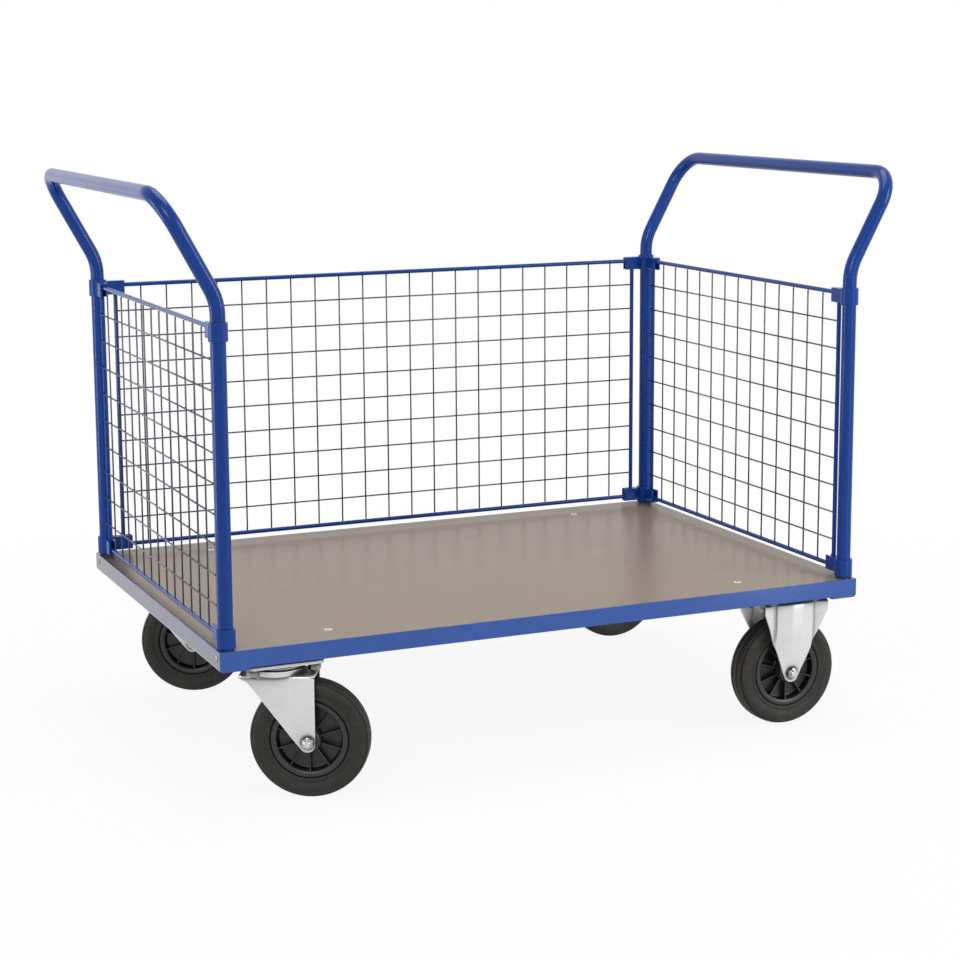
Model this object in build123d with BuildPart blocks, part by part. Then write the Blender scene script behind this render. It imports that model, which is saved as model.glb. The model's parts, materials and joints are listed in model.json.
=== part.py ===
"""Three-sided platform trolley: angle-steel frame, board deck, two push handles,
three wire mesh panels held by clips, two swivel castors and two fixed castors.

Millimetres, +Z up. X runs along the platform and Y across it. The rear panel is at +Y
and the open side at -Y. The origin is on the floor, under the middle of the platform.
"""

import math
import os

from build123d import *

os.makedirs("parts", exist_ok=True)

# Platform and frame
platform_length = 1200.0
platform_width = 800.0
deck_thickness = 27.0
deck_gap = 0.5
rail_wall = 3.0
rail_leg = 45.0
end_wall = 4.0
end_leg = 50.0
end_bend_radius = 6.0
end_inner_radius = 2.0
end_top_radius = 2.5
cross_margin = 53.0
cross_lip = 12.0
cross_wall = 3.0

# Push handles
tube_diameter = 25.0
tube_wall = 2.0
post_side_gap = 2.5
handle_bend_lift = 45.0
handle_rise = 167.0
handle_lean = 28.5
handle_bend_radius = 90.0
handle_corner_radius = 60.0
drain_hole_diameter = 6.0
drain_hole_spacing = 500.0

# Mesh panels
mesh_cell_width = 50.0
mesh_rows = 10
panel_end_gap = 25.0
panel_lift = 16.0
bar_diameter = 8.0
wire_diameter = 3.0
wire_sides = 8
wire_end_margin = 1.0

# Panel clips
clip_wall = 3.5
clip_floor = 4.5
clip_arm_height = 25.5
clip_overhang = 1.5
clip_collar = 3.0
clip_cover = 17.0
clip_clearance = 0.15
clip_lift = 3.0
clip_edge_radius = 2.5

# Castors
castor_end_inset = 116.0
castor_side_inset = 62.0
pad_length = 126.0
pad_width = 102.0
pad_thickness = 4.0
plate_length = 132.0
plate_width = 110.0
plate_thickness = 5.0
plate_corner_radius = 12.0
plate_hole_spacing_x = 105.0
swivel_hole_spacing_y = 72.0
fixed_hole_spacing_y = 54.0
swivel_trail = 54.0
front_swivel_angle = -28.0
rear_swivel_angle = -21.0
race_diameter = 94.0
race_wall = 3.5
race_depth = 4.0
race_lip_gap = 1.8
race_lip_radius = 2.0
bearing_thickness = 4.7
bearing_inner_diameter = 36.0
crown_thickness = 4.0
crown_rise = 10.5
crown_neck_diameter = 86.0
crown_rim_diameter = 97.0
crown_front = 46.0
crown_lip = 14.0
crown_lip_depth = 3.5
crown_corner_radius = 10.0
crown_bend_radius = 3.0
wheel_top_gap = 7.5
kingpin_diameter = 16.0
kingpin_nut_width = 24.0
kingpin_nut_height = 7.0
kingpin_end = 1.0
leg_thickness = 4.0
leg_tip_radius = 13.0
leg_tip_drop = 4.0
leg_shoulder = 14.0
leg_edge_margin = 12.0
swivel_fold = 28.0
swivel_fold_depth = 10.8
fixed_leg_top_width = 130.0
fixed_panel_width = 78.0
fixed_flat_width = 26.0
fixed_panel_slope = 3.0
fixed_panel_step = 3.0
fixed_leg_spread = 20.0
fixed_leg_knee = 18.0

# Wheels
wheel_diameter = 200.0
tyre_width = 44.0
tread_width = 22.0
shoulder_diameter = 195.0
shoulder_width = 35.0
sidewall_diameter = 180.0
rim_diameter = 130.0
rim_width = 38.0
rim_recess_diameter = 111.0
rim_recess_draft = 3.0
web_thickness = 6.0
hub_diameter = 40.0
hub_length = 58.0
hub_side_gap = 1.0
rib_count = 10
rib_thickness = 3.0
rib_setback = 4.0
axle_sleeve_diameter = 20.0
axle_bolt_diameter = 12.0
axle_hex_width = 18.0
axle_head_height = 7.5
axle_nut_height = 10.0
axle_bolt_end = 2.0

# Fasteners
castor_bolt_diameter = 12.0
castor_washer_diameter = 28.0
castor_washer_thickness = 2.5
castor_nut_width = 19.0
castor_nut_height = 11.0
castor_bolt_end = 4.5
deck_bolt_diameter = 8.0
deck_head_diameter = 16.0
deck_head_angle = 90.0
deck_head_sink = 0.2
deck_nut_width = 13.0
deck_nut_height = 6.5
deck_bolt_end = 2.0
deck_bolt_side_inset = 68.0
post_screw_diameter = 6.0
post_head_diameter = 11.0
post_head_height = 1.5
post_head_taper = 40.0
post_screw_reach = 6.0
post_screw_depth = 14.0

# Clearances
running_fit = 0.05
running_gap = 0.3
hole_clearance = 0.4
notch_clearance = 0.5

# Levels and places that follow from the sizes above
bearing_height = race_depth + running_gap + bearing_thickness
crown_height = crown_thickness + crown_rise
castor_height = wheel_diameter + wheel_top_gap + crown_height + bearing_height + plate_thickness
rail_height = deck_thickness + rail_wall
rail_bottom = castor_height + pad_thickness
deck_bottom = rail_bottom + rail_wall
platform_top = rail_bottom + rail_height
end_bottom = rail_bottom - end_wall
half_length = platform_length / 2
half_width = platform_width / 2
tube_radius = tube_diameter / 2
post_x = half_length - end_wall - tube_radius
post_y = half_width - rail_wall - post_side_gap - tube_radius
castor_x = half_length - castor_end_inset
castor_y = half_width - castor_side_inset
castor_sets = [(-1, swivel_hole_spacing_y), (1, fixed_hole_spacing_y)]
cross_inner = castor_x - plate_length / 2 - cross_margin
deck_bolt_x = castor_x - plate_length / 2 - cross_margin / 2
deck_bolt_y = half_width - deck_bolt_side_inset
post_screw_z = platform_top - post_screw_depth
bar_radius = bar_diameter / 2
wire_radius = wire_diameter / 2
panel_height = mesh_rows * mesh_cell_width
rear_cells = int((2 * post_x - 2 * panel_end_gap) // mesh_cell_width)
side_cells = int((2 * post_y - 2 * panel_end_gap) // mesh_cell_width)
rear_panel_width = rear_cells * mesh_cell_width
side_panel_width = side_cells * mesh_cell_width
lower_rail_z = platform_top + panel_lift
upper_rail_z = lower_rail_z + panel_height
handle_bend_height = upper_rail_z + handle_bend_lift
handle_height = handle_bend_height + handle_rise
wheel_radius = wheel_diameter / 2
plate_bottom = castor_height - plate_thickness
race_floor = plate_bottom - race_depth
crown_top = race_floor - running_gap - bearing_thickness
crown_shoulder = crown_top - crown_rise
crown_bottom = crown_shoulder - crown_thickness
fork_inner = hub_length + 2 * hub_side_gap
fork_outer = fork_inner + 2 * leg_thickness
leg_bottom = wheel_radius - leg_tip_drop - leg_tip_radius
UP = (0, 0, 1)


def save(piece, name):
    """Label a finished piece and write it to its own file."""
    piece.label = name
    export_step(piece, f"parts/{name}.step")


def turned_plane(x, y, angle):
    """A floor-level plane at (x, y) whose X direction is turned about the vertical."""
    turn = math.radians(angle)
    return Plane(origin=(x, y, 0), x_dir=(math.cos(turn), math.sin(turn), 0), z_dir=UP)


def upright_plane(base):
    """The vertical plane through a floor-level plane's origin, along its X direction."""
    return Plane(origin=base.origin, x_dir=base.x_dir, z_dir=-base.y_dir)


def hexagon_width(width):
    """Circumscribed radius of a hexagon with this width across its flats."""
    return width / math.sqrt(3)


# Deck board, notched for the posts and countersunk for its bolts
with BuildPart() as deck:
    with BuildSketch(Plane.XY.offset(deck_bottom)):
        Rectangle(
            platform_length - 2 * (end_wall + deck_gap),
            platform_width - 2 * (rail_wall + deck_gap),
        )
        with GridLocations(2 * post_x, 2 * post_y, 2, 2):
            Circle(tube_radius + notch_clearance, mode=Mode.SUBTRACT)
        with GridLocations(2 * half_length, 2 * post_y, 2, 2):
            Rectangle(
                2 * (half_length - post_x),
                2 * (tube_radius + notch_clearance),
                mode=Mode.SUBTRACT,
            )
    extrude(amount=deck_thickness)
    with Locations((0, 0, platform_top)):
        with GridLocations(2 * deck_bolt_x, 2 * deck_bolt_y, 2, 2):
            CounterSinkHole(
                radius=deck_bolt_diameter / 2 + hole_clearance,
                counter_sink_radius=deck_head_diameter / 2 + hole_clearance,
                counter_sink_angle=deck_head_angle,
            )
save(deck.part, "deck_board")

# Long side rails, one angle profile each, with the outer castor bolt holes in the leg
for name, side in (("front_side_rail", -1), ("rear_side_rail", 1)):
    with BuildPart() as rail:
        with BuildSketch(Plane.YZ.offset(end_wall - half_length)):
            with BuildLine():
                Polyline(
                    (side * half_width, rail_bottom),
                    (side * half_width, platform_top),
                    (side * (half_width - rail_wall), platform_top),
                    (side * (half_width - rail_wall), deck_bottom),
                    (side * (half_width - rail_leg), deck_bottom),
                    (side * (half_width - rail_leg), rail_bottom),
                    close=True,
                )
            make_face()
        extrude(amount=platform_length - 2 * end_wall)
        with BuildSketch(Plane.XY.offset(rail_bottom)):
            for end, hole_spacing in castor_sets:
                with Locations((end * castor_x, side * (castor_y + hole_spacing / 2))):
                    with GridLocations(plate_hole_spacing_x, 0, 2, 1):
                        Circle(castor_bolt_diameter / 2 + hole_clearance)
        extrude(amount=rail_wall, mode=Mode.SUBTRACT)
    save(rail.part, name)

# End rails run the full width, under the side rails' ends
for name, end in (("left_end_rail", -1), ("right_end_rail", 1)):
    with BuildPart() as end_rail:
        with BuildSketch(Plane.XZ.offset(-half_width)):
            with BuildLine():
                Polyline(
                    (end * half_length, end_bottom),
                    (end * half_length, platform_top),
                    (end * (half_length - end_wall), platform_top),
                    (end * (half_length - end_wall), rail_bottom),
                    (end * (half_length - end_leg), rail_bottom),
                    (end * (half_length - end_leg), end_bottom),
                    close=True,
                )
            profile = make_face()
            outer_corners = profile.vertices().group_by(Axis.X)[-1 if end > 0 else 0].sort_by(Axis.Z)
            inner_corner = profile.vertices().group_by(Axis.X)[1].sort_by(Axis.Z)[0]
            fillet(outer_corners[0], radius=end_bend_radius)
            fillet(outer_corners[-1], radius=end_top_radius)
            fillet(inner_corner, radius=end_inner_radius)
        extrude(amount=platform_width)
        with BuildSketch(Plane.YZ.offset(end * half_length)):
            with Locations((-post_y, post_screw_z), (post_y, post_screw_z)):
                Circle(post_screw_diameter / 2 + hole_clearance)
        extrude(amount=-end * end_wall, mode=Mode.SUBTRACT)
    save(end_rail.part, name)

# Cross members carry the deck, the inner castor bolts and the deck bolts
cross_half_span = half_width - rail_leg
for name, (end, hole_spacing) in zip(("left_cross_member", "right_cross_member"), castor_sets):
    with BuildPart() as cross_member:
        with BuildSketch(Plane.XZ.offset(-cross_half_span)):
            with BuildLine():
                Polyline(
                    (end * (half_length - end_wall), rail_bottom),
                    (end * (half_length - end_wall), deck_bottom),
                    (end * cross_inner, deck_bottom),
                    (end * cross_inner, rail_bottom - cross_lip),
                    (end * (cross_inner + cross_wall), rail_bottom - cross_lip),
                    (end * (cross_inner + cross_wall), rail_bottom),
                    close=True,
                )
            make_face()
        extrude(amount=2 * cross_half_span)
        with BuildSketch(Plane.XY.offset(rail_bottom)):
            for side in (-1, 1):
                with Locations((end * castor_x, side * (castor_y - hole_spacing / 2))):
                    with GridLocations(plate_hole_spacing_x, 0, 2, 1):
                        Circle(castor_bolt_diameter / 2 + hole_clearance)
                with Locations((end * deck_bolt_x, side * deck_bolt_y)):
                    Circle(deck_bolt_diameter / 2 + hole_clearance)
        extrude(amount=rail_wall, mode=Mode.SUBTRACT)
    save(cross_member.part, name)

# Deck bolts with countersunk heads, and their nuts under the cross members
deck_nut_bottom = rail_bottom - deck_nut_height
deck_head_top = platform_top - deck_head_sink
deck_head_spread = (deck_head_diameter - deck_bolt_diameter) / 2
deck_head_height = deck_head_spread / math.tan(math.radians(deck_head_angle / 2))
with BuildPart() as deck_bolts:
    with BuildSketch(Plane.XY.offset(deck_nut_bottom - deck_bolt_end)):
        with GridLocations(2 * deck_bolt_x, 2 * deck_bolt_y, 2, 2):
            Circle(deck_bolt_diameter / 2)
    extrude(amount=deck_head_top - deck_nut_bottom + deck_bolt_end)
    with Locations((0, 0, deck_head_top)):
        with GridLocations(2 * deck_bolt_x, 2 * deck_bolt_y, 2, 2):
            Cone(
                deck_bolt_diameter / 2,
                deck_head_diameter / 2,
                deck_head_height,
                align=(Align.CENTER, Align.CENTER, Align.MAX),
            )
save(deck_bolts.part, "deck_bolts")

with BuildPart() as deck_nuts:
    with BuildSketch(Plane.XY.offset(deck_nut_bottom)):
        with GridLocations(2 * deck_bolt_x, 2 * deck_bolt_y, 2, 2):
            RegularPolygon(hexagon_width(deck_nut_width), 6)
            Circle(deck_bolt_diameter / 2, mode=Mode.SUBTRACT)
    extrude(amount=deck_nut_height)
save(deck_nuts.part, "deck_nuts")


def tube_ring(place):
    """Sketch the handle tube's ring on a plane."""
    with BuildSketch(place) as ring:
        Circle(tube_radius)
        Circle(tube_radius - tube_wall, mode=Mode.SUBTRACT)
    return ring.sketch


def bent_tube(corners, radii):
    """One tube of straight runs joined by bends, with a radius for each inner corner."""
    points = [Vector(corner) for corner in corners]
    start = points[0]
    for corner, after, radius in zip(points[1:-1], points[2:], radii):
        ahead = (corner - start).normalized()
        leaving = (after - corner).normalized()
        turn = ahead.get_angle(leaving)
        setback = radius * math.tan(math.radians(turn / 2))
        bend_start = corner - ahead * setback
        extrude(tube_ring(Plane(start, z_dir=ahead)), amount=(bend_start - start).length)
        hinge = ahead.cross(leaving).normalized()
        bend_centre = bend_start + hinge.cross(ahead) * radius
        revolve(
            tube_ring(Plane(bend_start, z_dir=ahead)),
            axis=Axis(bend_centre, hinge),
            revolution_arc=turn,
        )
        start = corner + leaving * setback
    last_run = points[-1] - start
    extrude(tube_ring(Plane(start, z_dir=last_run)), amount=last_run.length)


# Push handles: post, outward lean, cross bar, lean, post, bent from one tube
handle_x = post_x + handle_rise * math.tan(math.radians(handle_lean))
for name, end in (("left_push_handle", -1), ("right_push_handle", 1)):
    with BuildPart() as handle:
        bent_tube(
            [
                (end * post_x, -post_y, deck_bottom),
                (end * post_x, -post_y, handle_bend_height),
                (end * handle_x, -post_y, handle_height),
                (end * handle_x, post_y, handle_height),
                (end * post_x, post_y, handle_bend_height),
                (end * post_x, post_y, deck_bottom),
            ],
            [
                handle_bend_radius,
                handle_corner_radius,
                handle_corner_radius,
                handle_bend_radius,
            ],
        )
        with BuildSketch(Plane.XY.offset(handle_height - tube_radius)):
            with Locations((end * handle_x, 0)):
                with GridLocations(0, drain_hole_spacing, 1, 2):
                    Circle(drain_hole_diameter / 2)
        extrude(amount=tube_radius, mode=Mode.SUBTRACT)
        with BuildSketch(Plane.YZ.offset(end * (post_x + tube_radius))):
            with Locations((-post_y, post_screw_z), (post_y, post_screw_z)):
                Circle(post_screw_diameter / 2)
        extrude(amount=-end * tube_radius, mode=Mode.SUBTRACT)
    save(handle.part, name)

# Post screws, through the end rails into the posts' outer walls
with BuildPart() as post_screws:
    for end in (-1, 1):
        with BuildSketch(Plane.YZ.offset(end * half_length)):
            with Locations((-post_y, post_screw_z), (post_y, post_screw_z)):
                Circle(post_head_diameter / 2)
        extrude(amount=end * post_head_height, taper=post_head_taper)
        with BuildSketch(Plane.YZ.offset(end * half_length)):
            with Locations((-post_y, post_screw_z), (post_y, post_screw_z)):
                Circle(post_screw_diameter / 2)
        extrude(amount=-end * (end_wall + tube_wall + post_screw_reach))
save(post_screws.part, "post_screws")


def mesh_panel(name, centre, along, wire_side, cells):
    """A round bar frame with upright and cross wires laid on its wire side."""
    width = cells * mesh_cell_width
    face = Plane(origin=(*centre, lower_rail_z), x_dir=along, z_dir=wire_side)
    cross_offset = bar_radius + wire_radius
    upright_offset = cross_offset - wire_diameter
    upright_inset = math.sqrt(bar_radius**2 - (upright_offset - wire_radius) ** 2)
    with BuildPart() as frame:
        with BuildLine(face):
            Polyline(
                (0, 0),
                (width / 2, 0),
                (width / 2, panel_height),
                (-width / 2, panel_height),
                (-width / 2, 0),
                (0, 0),
            )
        with BuildSketch(Plane(origin=face.origin, z_dir=face.x_dir)):
            Circle(bar_radius)
        sweep(transition=Transition.RIGHT)
    save(frame.part, f"{name}_panel_frame")

    with BuildPart() as wires:
        upright_start = face.from_local_coords((0, upright_inset, upright_offset))
        with BuildSketch(Plane(origin=upright_start, x_dir=along, z_dir=UP)):
            with GridLocations(mesh_cell_width, 0, cells - 1, 1):
                RegularPolygon(
                    wire_radius, wire_sides, major_radius=False, rotation=180 / wire_sides
                )
        extrude(amount=panel_height - 2 * upright_inset)
        cross_half = width / 2 + bar_radius - wire_end_margin
        cross_start = face.from_local_coords((-cross_half, panel_height / 2, cross_offset))
        with BuildSketch(Plane(origin=cross_start, x_dir=wire_side, z_dir=along)):
            with GridLocations(0, mesh_cell_width, 1, mesh_rows - 1):
                RegularPolygon(
                    wire_radius, wire_sides, major_radius=False, rotation=180 / wire_sides
                )
        extrude(amount=2 * cross_half)
    save(wires.part, f"{name}_panel_wires")


mesh_panel("rear", (0, post_y), (-1, 0, 0), (0, 1, 0), rear_cells)
mesh_panel("left", (-post_x, 0), (0, -1, 0), (-1, 0, 0), side_cells)
mesh_panel("right", (post_x, 0), (0, -1, 0), (-1, 0, 0), side_cells)

# Panel clips: a sleeve on the post, with an open channel that holds a panel's corner
rear_bar_offset = post_x - rear_panel_width / 2
side_bar_offset = post_y - side_panel_width / 2
clip_radius = tube_radius + clip_wall
channel_width = bar_diameter + 2 * clip_clearance
arm_width = channel_width + 2 * clip_wall


def panel_clip(x, y, arms, sleeve_bottom, sleeve_height, arm_bottom, channel_bottom):
    """Add one clip. Each arm is its direction and the distance from the post to the bar."""
    with BuildSketch(Plane.XY.offset(sleeve_bottom)) as sleeve:
        with Locations((x, y)):
            Circle(clip_radius)
    extrude(sleeve.sketch, amount=sleeve_height)
    for direction, bar_offset in arms:
        place = Plane(origin=(x, y, arm_bottom), x_dir=direction, z_dir=UP)
        with BuildSketch(place) as arm:
            with Locations((-clip_edge_radius, 0)):
                RectangleRounded(
                    clip_edge_radius + bar_offset + clip_cover,
                    arm_width,
                    clip_edge_radius,
                    align=(Align.MIN, Align.CENTER),
                )
        extrude(arm.sketch, amount=clip_arm_height)
    for direction, bar_offset in arms:
        place = Plane(origin=(x, y, channel_bottom), x_dir=direction, z_dir=UP)
        with BuildSketch(place) as channel:
            with Locations((bar_offset - bar_radius - clip_clearance, 0)):
                Rectangle(
                    bar_radius + clip_clearance + clip_cover,
                    channel_width,
                    align=(Align.MIN, Align.CENTER),
                )
        extrude(channel.sketch, amount=clip_arm_height - clip_floor, mode=Mode.SUBTRACT)
    with BuildSketch(Plane.XY.offset(sleeve_bottom)) as bore:
        with Locations((x, y)):
            Circle(tube_radius + running_fit)
    extrude(bore.sketch, amount=sleeve_height, mode=Mode.SUBTRACT)


clip_places = []
for end in (-1, 1):
    for side in (-1, 1):
        arms = [((0, -side, 0), side_bar_offset)]
        if side > 0:
            arms.append(((-end, 0, 0), rear_bar_offset))
        clip_places.append((end * post_x, side * post_y, arms))

lower_arm_bottom = lower_rail_z - bar_radius - clip_floor
lower_channel_bottom = lower_rail_z - bar_radius
lower_sleeve_bottom = platform_top + clip_lift
lower_sleeve_height = lower_arm_bottom + clip_arm_height + clip_overhang - lower_sleeve_bottom
with BuildPart() as lower_clips:
    for x, y, arms in clip_places:
        panel_clip(
            x,
            y,
            arms,
            lower_sleeve_bottom,
            lower_sleeve_height,
            lower_arm_bottom,
            lower_channel_bottom,
        )
save(lower_clips.part, "lower_clips")

upper_arm_bottom = upper_rail_z + bar_radius + clip_floor - clip_arm_height
upper_sleeve_bottom = upper_arm_bottom - clip_overhang
upper_sleeve_height = clip_overhang + clip_arm_height + clip_collar
with BuildPart() as upper_clips:
    for x, y, arms in clip_places:
        panel_clip(
            x,
            y,
            arms,
            upper_sleeve_bottom,
            upper_sleeve_height,
            upper_arm_bottom,
            upper_arm_bottom,
        )
save(upper_clips.part, "upper_clips")

# Mounting pads, welded under the frame above each castor
with BuildPart() as castor_pads:
    for end, hole_spacing in castor_sets:
        for side in (-1, 1):
            with BuildSketch(Plane.XY.offset(castor_height)):
                with Locations((end * castor_x, side * castor_y)):
                    Rectangle(pad_length, pad_width)
                    with GridLocations(plate_hole_spacing_x, hole_spacing, 2, 2):
                        Circle(castor_bolt_diameter / 2 + hole_clearance, mode=Mode.SUBTRACT)
            extrude(amount=pad_thickness)
save(castor_pads.part, "castor_pads")

# Castor bolts, down through the frame and the castor plates, each with its washer and nut
castor_nut_top = plate_bottom - castor_washer_thickness
castor_bolt_bottom = castor_nut_top - castor_nut_height - castor_bolt_end
castor_bolt_places = []
for end, hole_spacing in castor_sets:
    for side in (-1, 1):
        for along in (-1, 1):
            for across in (-1, 1):
                bolt_x = end * castor_x + along * plate_hole_spacing_x / 2
                bolt_y = side * castor_y + across * hole_spacing / 2
                castor_bolt_places.append((bolt_x, bolt_y))
with BuildPart() as castor_bolts:
    with BuildSketch(Plane.XY.offset(castor_nut_top)):
        with Locations(*castor_bolt_places):
            Circle(castor_washer_diameter / 2)
    extrude(amount=castor_washer_thickness)
    with BuildSketch(Plane.XY.offset(castor_nut_top - castor_nut_height)):
        with Locations(*castor_bolt_places):
            RegularPolygon(hexagon_width(castor_nut_width), 6)
    extrude(amount=castor_nut_height)
    with BuildSketch(Plane.XY.offset(castor_bolt_bottom)):
        with Locations(*castor_bolt_places):
            Circle(castor_bolt_diameter / 2)
    extrude(amount=deck_bottom - castor_bolt_bottom)
save(castor_bolts.part, "castor_bolts")


def plate_outline(hole_spacing):
    """Draw a castor plate's rounded outline with its four bolt holes."""
    RectangleRounded(plate_length, plate_width, plate_corner_radius)
    with GridLocations(plate_hole_spacing_x, hole_spacing, 2, 2):
        Circle(castor_bolt_diameter / 2 + hole_clearance, mode=Mode.SUBTRACT)


def leg_hull(upright, tip_x, left, right, shoulder, top, lip=None):
    """Sketch a leg's outline: a rounded tip under the axle, drawn up to a straight top and its lip."""
    with BuildSketch(upright) as outline:
        with Locations((tip_x, wheel_radius - leg_tip_drop)):
            Circle(leg_tip_radius)
        with Locations(((left + right) / 2, (shoulder + top) / 2)):
            Rectangle(right - left, top - shoulder)
        make_hull()
        if lip:
            lip_bottom = top - crown_lip_depth
            Polygon((left, top), (left, shoulder), (left - lip, lip_bottom), (left - lip, top), align=None)
    return outline.sketch


def wheel(name, centre, axle):
    """A rubber tyre on a ribbed rim, both turned about the axle direction."""
    section = Plane(origin=centre, x_dir=axle, z_dir=axle.cross(Vector(UP)))
    across = Plane(origin=centre, x_dir=UP, z_dir=axle)
    turning_axis = Axis(centre, axle)
    with BuildPart() as rim:
        with BuildSketch(section):
            with BuildLine():
                Polyline(
                    (0, axle_sleeve_diameter / 2 + running_fit),
                    (hub_length / 2, axle_sleeve_diameter / 2 + running_fit),
                    (hub_length / 2, hub_diameter / 2),
                    (web_thickness / 2, hub_diameter / 2),
                    (web_thickness / 2, rim_recess_diameter / 2 - rim_recess_draft),
                    (rim_width / 2, rim_recess_diameter / 2),
                    (rim_width / 2, rim_diameter / 2),
                    (0, rim_diameter / 2),
                )
                mirror(about=Plane.YZ)
            make_face()
        revolve(axis=turning_axis)
        rib_inner = hub_diameter / 2 - rib_thickness
        rib_outer = rim_recess_diameter / 2
        with BuildSketch(across):
            with PolarLocations((rib_inner + rib_outer) / 2, rib_count):
                Rectangle(rib_outer - rib_inner, rib_thickness)
        extrude(amount=rim_width / 2 - rib_setback, both=True)
    save(rim.part, f"{name}_rim")

    with BuildPart() as tyre:
        with BuildSketch(section):
            with BuildLine():
                Polyline(
                    (0, rim_diameter / 2),
                    (rim_width / 2, rim_diameter / 2),
                    (tyre_width / 2, sidewall_diameter / 2),
                    (shoulder_width / 2, shoulder_diameter / 2),
                    (tread_width / 2, wheel_radius),
                    (0, wheel_radius),
                )
                mirror(about=Plane.YZ)
            make_face()
        revolve(axis=turning_axis)
    save(tyre.part, f"{name}_tyre")


def axle_pieces(name, centre, axle):
    """The clamped sleeve that the hub turns on, and the bolt and nut that hold it."""
    start = Plane(origin=centre, x_dir=UP, z_dir=axle)
    with BuildPart() as sleeve:
        with BuildSketch(start.offset(-fork_inner / 2)):
            Circle(axle_sleeve_diameter / 2)
            Circle(axle_bolt_diameter / 2 + running_fit, mode=Mode.SUBTRACT)
        extrude(amount=fork_inner)
    save(sleeve.part, f"{name}_axle_sleeve")

    with BuildPart() as bolt:
        with BuildSketch(start.offset(-fork_outer / 2 - axle_head_height)):
            RegularPolygon(hexagon_width(axle_hex_width), 6)
        extrude(amount=axle_head_height)
        with BuildSketch(start.offset(-fork_outer / 2)):
            Circle(axle_bolt_diameter / 2)
        extrude(amount=fork_outer + axle_nut_height + axle_bolt_end)
    save(bolt.part, f"{name}_axle_bolt")

    with BuildPart() as nut:
        with BuildSketch(start.offset(fork_outer / 2)):
            RegularPolygon(hexagon_width(axle_hex_width), 6)
            Circle(axle_bolt_diameter / 2, mode=Mode.SUBTRACT)
        extrude(amount=axle_nut_height)
    save(nut.part, f"{name}_axle_nut")


def folded_legs(base, section, knee, top, spread):
    """Two facing pressed legs: a folded section, upright to the knee, then spread to the top."""
    lean = Vector(0, 0, top - knee)
    for side in (-1, 1):
        outer = [(x, side * y) for x, y in section]
        inner = [(x, side * (y - leg_thickness)) for x, y in reversed(section)]
        for stretch in (lean + base.y_dir * side * spread, Vector(0, 0, leg_bottom - knee)):
            with BuildSketch(base.offset(knee)) as profile:
                with BuildLine():
                    Polyline(*outer, *inner, close=True)
                make_face()
            extrude(profile.sketch, amount=stretch.length, dir=stretch.normalized())


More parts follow.
